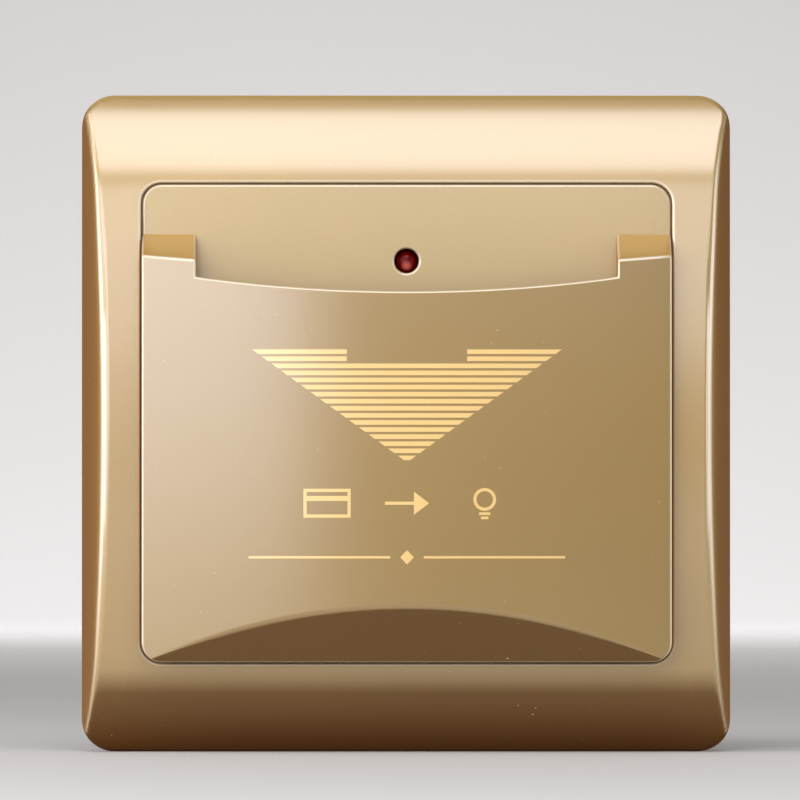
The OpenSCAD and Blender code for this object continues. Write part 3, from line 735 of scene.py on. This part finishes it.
# The rim marks carry the lacquer's painted highlight along the lip and the crease.
mark_rim(bezel, "POINT", [bezel_rim(point.co) for point in bezel.data.vertices])
smooth(bezel)
dress(bezel, gold_lacquer("gold_bezel", face_gold), "front")
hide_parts("bezel")

# Card guide: the flat gold panel behind the card, dropped on the bezel's ledge, with a hole for the lamp
# and a window for the lever. Moulded and lacquered like the bezel, a shade paler.
panel_w = 69.8
panel_h = 63.0
panel_r = 2.6
guide_front = 7.0
guide_back = 5.4
guide_edge = 0.32
lamp_hole_r = 1.6
lamp_hole_sides = 72
cut_gap = 0.0001
window_w = 15.0
window_low = -25.4
window_high = -16.6
guide_gold = (196, 167, 104)


def slab(name, low_corner, high_corner):
    """A block between two corners, each [x, height above the wall, level] in millimetres."""
    middle = [(a + b) / 2 * MM for a, b in zip(low_corner, high_corner)]
    size = [(b - a) * MM for a, b in zip(low_corner, high_corner)]
    bpy.ops.object.select_all(action="DESELECT")
    bpy.ops.mesh.primitive_cube_add(size=1, location=(middle[0], -middle[1], middle[2]), scale=size)
    bpy.ops.object.transform_apply(location=True, rotation=True, scale=True)
    bpy.context.object.name = name
    return bpy.context.object


def bevel_edges(piece, share, width, segments, sharpness=1, slot=-1):
    """Rounds the edges that turn by so many degrees, each by its own share of the width."""
    pick(piece)
    bpy.ops.object.mode_set(mode="EDIT")
    bpy.ops.mesh.select_mode(type="EDGE")
    bpy.ops.mesh.select_all(action="DESELECT")
    bpy.ops.mesh.edges_select_sharp(sharpness=math.radians(sharpness))
    bpy.ops.object.mode_set(mode="OBJECT")
    points = piece.data.vertices
    weights = [edge.select * share(*(points[i].co for i in edge.vertices)) for edge in piece.data.edges]
    attribute = piece.data.attributes.new("bevel_weight_edge", "FLOAT", "EDGE")
    attribute.data.foreach_set("value", weights)
    add_modifier(piece, "BEVEL", {
        "width": width * MM, "segments": segments, "limit_method": "WEIGHT", "use_clamp_overlap": False,
        "material": slot,
    })
    piece.data.attributes.remove(piece.data.attributes["bevel_weight_edge"])


def trim(piece, point, normal, clear=True):
    """Slices off all beyond a plane, given in millimetres, and closes the cut, or only scores it."""
    pick(piece)
    bpy.ops.object.mode_set(mode="EDIT")
    bpy.ops.mesh.select_all(action="SELECT")
    bpy.ops.mesh.bisect(
        plane_co=[value * MM for value in point], plane_no=Vector(normal).normalized(), use_fill=clear,
        clear_outer=clear, threshold=cut_gap * MM)
    bpy.ops.object.mode_set(mode="OBJECT")


def round_corners(piece, radius, chosen, segments=12):
    """Rounds the edges that stand square to the wall, where the test takes their level."""
    def square_to_wall(a, b):
        along = b - a
        return abs(along.y) > 0.99 * along.length and chosen(a.z / MM)

    bevel_edges(piece, square_to_wall, radius, segments)


cut_low = guide_back - tool_over
cut_high = guide_front + tool_over
guide = slab(
    "card_guide_panel", (-panel_w / 2, guide_back, -panel_h / 2), (panel_w / 2, guide_front, panel_h / 2))
round_corners(guide, panel_r, lambda level: True)
for x in (-screw_x, 0, screw_x):
    trim(guide, (x, 0, 0), (1, 0, 0), clear=False)
for level in (lamp_level, *screw_levels):
    trim(guide, (0, 0, level), (0, 0, 1), clear=False)
carve(guide, rod(0, lamp_level, lamp_hole_r, cut_low, cut_high, lamp_hole_sides))
carve(guide, slab("window", (-window_w / 2, cut_low, window_low), (window_w / 2, cut_high, window_high)))
for x in (-screw_x, screw_x):
    for level in screw_levels:
        carve(guide, rod(x, level, screw_hole_r, cut_low, cut_high))


def guide_rim(place):
    """Tells whether a place is on the round along the panel's front edge or the lamp's hole."""
    x, depth, level = place / MM
    inside_x = panel_w / 2 - abs(x)
    inside_z = panel_h / 2 - abs(level)
    corner = math.hypot(max(panel_r - inside_x, 0.0), max(panel_r - inside_z, 0.0))
    inside = panel_r - corner if corner > 0 else min(inside_x, inside_z)
    inside = min(inside, math.hypot(x, level - lamp_level) - lamp_hole_r)
    return inside < guide_edge and -depth > guide_front - guide_edge


round_over(guide, guide_edge, 3)
# Painted highlight along the front edge and the lamp's hole.
mark_rim(guide, "FACE", [float(guide_rim(face.center)) for face in guide.data.polygons])
dress(guide, gold_lacquer("gold_guide", guide_gold), "front")
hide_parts("card_guide")

# Pocket cover: the bowed gold shell that the card slides behind, with sloped shoulders beside its hollow
# lip and a scoop along its foot. Moulded, lacquered and screwed from behind through the guide.
cover_h = 14.25
cover_r = 235.0
cover_wall = 1.5
shoulder_level = 24.9
shoulder_fall = 0.624
lip_level = 17.25
lip_r = 201.0
scoop_level = -24.15
scoop_fall = 2.87
card_w = 55.5
bow_facets = 640
bow_length = 200.0
lip_facets = 720
bow_flat = math.radians(0.05)
arch_round = 0.45
arch_taper = (24.0, 33.5)
arch_least = 0.04
on_bow = 0.02
on_scoop = 0.05
on_guide = 0.05
foot_level = -28.8
foot_share = 0.3
cover_edge = 0.27
rim_slot = 1
rim_sharpness = 30
cover_gold = (163, 129, 51)


def bowed_block(name, inset, low):
    """The cover's outer form, or its inner one a wall's thickness inside."""
    half = panel_w / 2 - inset
    block = slab(
        name, (-half, low, inset - panel_h / 2), (half, cover_h + tool_over, shoulder_level + 2 * tool_over))
    round_corners(block, panel_r - inset, lambda level: level < 0)
    bpy.ops.object.select_all(action="DESELECT")
    bpy.ops.mesh.primitive_cylinder_add(
        vertices=bow_facets, radius=(cover_r - inset) * MM, depth=bow_length * MM,
        location=(0, (cover_r - cover_h) * MM, 0), rotation=(0, 0, math.pi / bow_facets))
    bpy.ops.object.transform_apply(location=True, rotation=True, scale=True)
    carve(block, bpy.context.object, "INTERSECT")
    scoop_shift = inset * math.hypot(1, scoop_fall)
    trim(block, (0, -cover_h, scoop_level + scoop_shift), (0, -scoop_fall, -1))
    shoulder_shift = inset * math.hypot(1, shoulder_fall)
    trim(block, (0, -guide_front, shoulder_level - shoulder_shift), (0, -shoulder_fall, 1))
    return block


def bow_height(x):
    return cover_h - cover_r + math.sqrt(cover_r ** 2 - x ** 2)


cover = bowed_block("pocket_cover_shell", 0.0, guide_front)
mouth = rod(0, lip_level + lip_r, lip_r, guide_front - tool_over, cover_h + tool_over, lip_facets)
channel = bowed_block("channel", cover_wall, guide_front - tool_over)
for hollow in (mouth, channel):
    for side in (-1, 1):
        trim(hollow, (side * card_w / 2, 0, 0), (side, 0, 0))
    carve(cover, hollow)
clean(cover, bow_flat)


def arch_share(*ends):
    """How round an edge is where the scoop meets the bowed face: less and less towards the corners."""
    places = [end / MM for end in ends]
    for place in places:
        bowed = abs(-place.y - bow_height(place.x)) < on_bow
        scooped = abs(place.z - scoop_level + scoop_fall * (cover_h + place.y)) < on_scoop
        if not (bowed and scooped):
            return 0.0
    inner, outer = arch_taper
    reach = max(abs(place.x) for place in places)
    return min(max((outer - reach) / (outer - inner), arch_least), 1.0)


def rim_share(*ends):
    """How round an outer edge is: not at all on the guide, and less along the foot."""
    if all(-end.y < (guide_front + on_guide) * MM for end in ends):
        return 0.0
    level = max(end.z for end in ends) / MM
    fall = (foot_level - level) / (foot_level + panel_h / 2)
    return 1.0 - (1.0 - foot_share) * min(max(fall, 0.0), 1.0)


bevel_edges(cover, arch_share, arch_round, 6)
for _ in range(rim_slot + 1):
    cover.data.materials.append(None)
bevel_edges(cover, rim_share, cover_edge, 4, rim_sharpness, rim_slot)
# Painted highlight on the rounded outer edges.
mark_rim(cover, "FACE", [float(face.material_index == rim_slot) for face in cover.data.polygons])
cover.data.polygons.foreach_set("material_index", [0] * len(cover.data.polygons))
smooth(cover)
dress(cover, gold_lacquer("gold_cover", cover_gold), "front")
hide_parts("pocket_cover")

# Print on the cover: bright gold foil, hot-stamped. A striped arrow points the card down, and below it
# stand plain signs for a card, a way in and a lamp, over a thin rule with a diamond.
foil_gold = (255, 214, 128)
foil_top = 0.02
foil_root = 0.02
foil_step = 0.8
foil_tip = 0.05
line_count = 16
line_pitch = 0.93
line_t = 0.6
arrow_top = 9.6
arrow_half = 20.35
arrow_slope = 1.371
notch_half = 7.9
notch_lines = 2
sign_level = -10.6
sign_line = 0.42
card_left = -13.6
card_right = -7.4
card_half = 1.9
stripe_low = 0.3
stripe_high = 0.95
shaft_left = -2.9
head_left = 0.9
head_right = 2.9
head_half = 1.5
bulb_x = 10.2
bulb_rise = 0.5
bulb_r = 1.5
cap_t = 0.35
cap_drops = (1.2, 1.75)
cap_halves = (0.75, 0.5)
rule_level = -17.7
rule_half = 20.8
rule_gap = 2.2
rule_t = 0.32
diamond_half = 0.9
diamond_tip = 0.05


def foil_strip(corners):
    """A strip of foil laid on the bowed face between two upper and two lower corners."""
    (left, top), (right, _), (low_left, bottom), (low_right, _) = corners
    steps = max(2, round((right - left) / foil_step))
    bpy.ops.object.select_all(action="DESELECT")
    bpy.ops.mesh.primitive_grid_add(x_subdivisions=steps, y_subdivisions=1, size=1)
    strip = bpy.context.object
    for vertex in strip.data.vertices:
        share = vertex.co.x + 0.5
        upper = vertex.co.y > 0
        start, end = (left, right) if upper else (low_left, low_right)
        x = start + (end - start) * share
        vertex.co = Vector((x, -bow_height(x) + foil_root, top if upper else bottom)) * MM
    bpy.ops.object.mode_set(mode="EDIT")
    bpy.ops.mesh.select_all(action="SELECT")
    bpy.ops.mesh.extrude_region_move(TRANSFORM_OT_translate={"value": (0, -(foil_top + foil_root) * MM, 0)})
    bpy.ops.mesh.select_all(action="SELECT")
    bpy.ops.mesh.normals_make_consistent(inside=False)
    bpy.ops.object.mode_set(mode="OBJECT")
    return strip


def foil_bar(left, right, bottom, top):
    return foil_strip(((left, top), (right, top), (left, bottom), (right, bottom)))


def foil_taper(top_ends, top, bottom_ends, bottom):
    return foil_strip((
        (top_ends[0], top), (top_ends[1], top), (bottom_ends[0], bottom), (bottom_ends[1], bottom)))


strips = []
for line in range(line_count):
    top = arrow_top - line_pitch * line
    bottom = top - line_t
    half = arrow_half - arrow_slope * (arrow_top - top)
    low_half = half - arrow_slope * line_t
    if line < notch_lines:
        for side in (-1, 1):
            ends = sorted((side * notch_half, side * half))
            low_ends = sorted((side * notch_half, side * low_half))
            strips.append(foil_taper(ends, top, low_ends, bottom))
    else:
        strips.append(foil_taper((-half, half), top, (-low_half, low_half), bottom))

card_low = sign_level - card_half
card_high = sign_level + card_half
inner_left = card_left + sign_line
inner_right = card_right - sign_line
strips += [
    foil_bar(card_left, card_right, card_high - sign_line, card_high),
    foil_bar(card_left, card_right, card_low, card_low + sign_line),
    foil_bar(card_left, inner_left, card_low + sign_line, card_high - sign_line),
    foil_bar(inner_right, card_right, card_low + sign_line, card_high - sign_line),
    foil_bar(inner_left, inner_right, sign_level + stripe_low, sign_level + stripe_high),
]
head_root = (head_left, head_left + foil_tip)
head_wide = (head_left, head_right)
strips += [
    foil_bar(shaft_left, head_left, sign_level - sign_line / 2, sign_level + sign_line / 2),
    foil_taper(head_root, sign_level + head_half, head_wide, sign_level),
    foil_taper(head_wide, sign_level, head_root, sign_level - head_half),
]
for side in (-1, 1):
    ends = sorted((side * rule_gap, side * rule_half))
    strips.append(foil_bar(ends[0], ends[1], rule_level - rule_t / 2, rule_level + rule_t / 2))
tip_ends = (-diamond_tip, diamond_tip)
wide_ends = (-diamond_half, diamond_half)
strips += [
    foil_taper(tip_ends, rule_level + diamond_half, wide_ends, rule_level),
    foil_taper(wide_ends, rule_level, tip_ends, rule_level - diamond_half),
]
for drop, half in zip(cap_drops, cap_halves):
    strips.append(foil_bar(bulb_x - half, bulb_x + half, sign_level - drop - cap_t, sign_level - drop))
bulb_height = bow_height(bulb_x)
bulb_level = sign_level + bulb_rise
bulb = rod(bulb_x, bulb_level, bulb_r, bulb_height - foil_root, bulb_height + foil_top)
carve(bulb, rod(bulb_x, bulb_level, bulb_r - sign_line, bulb_height - tool_over, bulb_height + tool_over))
for vertex in bulb.data.vertices:
    vertex.co.y -= (bow_height(vertex.co.x / MM) - bulb_height) * MM
strips.append(bulb)
bpy.ops.object.select_all(action="DESELECT")
for strip in strips:
    strip.select_set(True)
bpy.context.view_layer.objects.active = strips[0]
bpy.ops.object.join()
print_foil = bpy.context.object
print_foil.name = "cover_foil_print"
dress(print_foil, gold_lacquer("foil_gold", foil_gold), "front")

# Front screws: four screws from behind, through bezel and guide into the cover, which make the front one
# piece. They are zinc-plated steel, like the board's.
eased("front_screws", screw_edge, screw_steel, "front")

# Stage: a sheet of pale paper that lies under the object and rises behind it in one sweep, soft studio
# lamps that the camera doesn't see, and the camera straight in front.
floor_level = -43.5
floor_pale = (214, 211, 206)
floor_size = 6.0
floor_middle_y = -1.0
wall_rise = 2.5
sweep_r = 0.6
sweep_steps = 20
behind_y = 0.5
paper_scale = 6
lamp_white = (0.97, 0.98, 1.07)
world_grey = (0.22, 0.21, 0.19, 1.0)
camera_distance = 1.3
view_width = 0.1062
aim = Vector((-0.0008, 0.0, 0.0031))
camera_azimuth = math.radians(-0.5)
camera_elevation = math.radians(-0.6)

bpy.ops.object.select_all(action="DESELECT")
bpy.ops.mesh.primitive_plane_add(size=floor_size, location=(0, floor_middle_y, floor_level * MM))
floor = bpy.context.object
floor.name = "floor"
bpy.ops.object.transform_apply(location=True, rotation=True, scale=True)


def pick_floor_edges(test):
    """Selects the floor's edges whose ends both pass a test, and opens it for editing."""
    bpy.ops.object.mode_set(mode="EDIT")
    bpy.ops.mesh.select_all(action="DESELECT")
    bpy.ops.object.mode_set(mode="OBJECT")
    for edge in floor.data.edges:
        edge.select = all(test(floor.data.vertices[i].co) for i in edge.vertices)
    bpy.ops.object.mode_set(mode="EDIT")


pick_floor_edges(lambda place: place.y > behind_y)
bpy.ops.mesh.extrude_region_move(TRANSFORM_OT_translate={"value": (0, 0, wall_rise)})
pick_floor_edges(lambda place: place.y > behind_y and place.z < 0)
bpy.ops.mesh.bevel(offset=sweep_r, segments=sweep_steps, affect="EDGES")
bpy.ops.object.mode_set(mode="OBJECT")
smooth(floor)
paper, paper_shader, paper_place = new_finish("floor_paper", {"Roughness": 0.8})
paper_cloud = paper_place.noise(paper_scale, 2.0)
feed(paper_shader, {"Base Color": paper_cloud.mix(srgb(floor_pale, 0.98), srgb(floor_pale, 1.02))})
floor.data.materials.append(paper)


def soft_lamp(name, place, target, width, height, brightness):
    """A soft panel that faces a point, as bright all over as a white of that strength."""
    bpy.ops.object.light_add(type="AREA", location=place)
    lamp = bpy.context.object
    lamp.name = name
    lamp.rotation_euler = (Vector(target) - Vector(place)).to_track_quat("-Z", "Y").to_euler()
    lamp.data.shape = "RECTANGLE"
    lamp.data.size = width
    lamp.data.size_y = height
    lamp.data.energy = brightness * math.pi * width * height
    lamp.data.color = lamp_white
    lamp.visible_camera = False


soft_lamp("overhead_panel", (0, -0.37, 0.472), (0, 0, 0), 0.36, 0.46, 2.7)
soft_lamp("corner_panel", (-0.36, -0.24, 0.415), (0, 0, 0), 0.34, 0.34, 2.6)
soft_lamp("front_panel", (-0.178, -0.563, 0.105), (0, 0, 0), 0.22, 0.24, 2.8)
soft_lamp("left_panel", (-0.366, -0.468, 0.083), (0, 0, 0), 0.25, 0.25, 1.85)
soft_lamp("left_side_panel", (-0.57, -0.16, 0.08), (0, 0, 0), 0.4, 0.3, 3.6)
soft_lamp("right_panel", (0.1, -0.57, 0.152), (0, 0, 0), 0.3, 0.2, 1.5)
soft_lamp("right_side_panel", (0.56, -0.2, 0.08), (0, 0, 0), 0.4, 0.3, 2.2)
soft_lamp("rear_panel", (0, 1.2, 0.45), (0, 1.2, 0), 1.4, 0.7, 1.3)
soft_lamp("backdrop_lamp", (0, 1.2, 0.5), (0, 2.0, 0.05), 0.4, 0.4, 5.0)
world = bpy.data.worlds.new("studio")
bpy.context.scene.world = world
world.use_nodes = True
world.node_tree.nodes["Background"].inputs["Color"].default_value = world_grey

camera_data = bpy.data.cameras.new("camera")
camera = bpy.data.objects.new("camera", camera_data)
bpy.context.collection.objects.link(camera)
offset = Vector((
    math.sin(camera_azimuth) * math.cos(camera_elevation),
    -math.cos(camera_azimuth) * math.cos(camera_elevation),
    math.sin(camera_elevation),
))
camera.location = aim + camera_distance * offset
camera.rotation_euler = (-offset).to_track_quat("-Z", "Y").to_euler()
camera_data.sensor_width = 36.0
camera_data.lens = camera_data.sensor_width * camera_distance / view_width
camera_data.clip_start = 0.01
bpy.context.scene.camera = camera
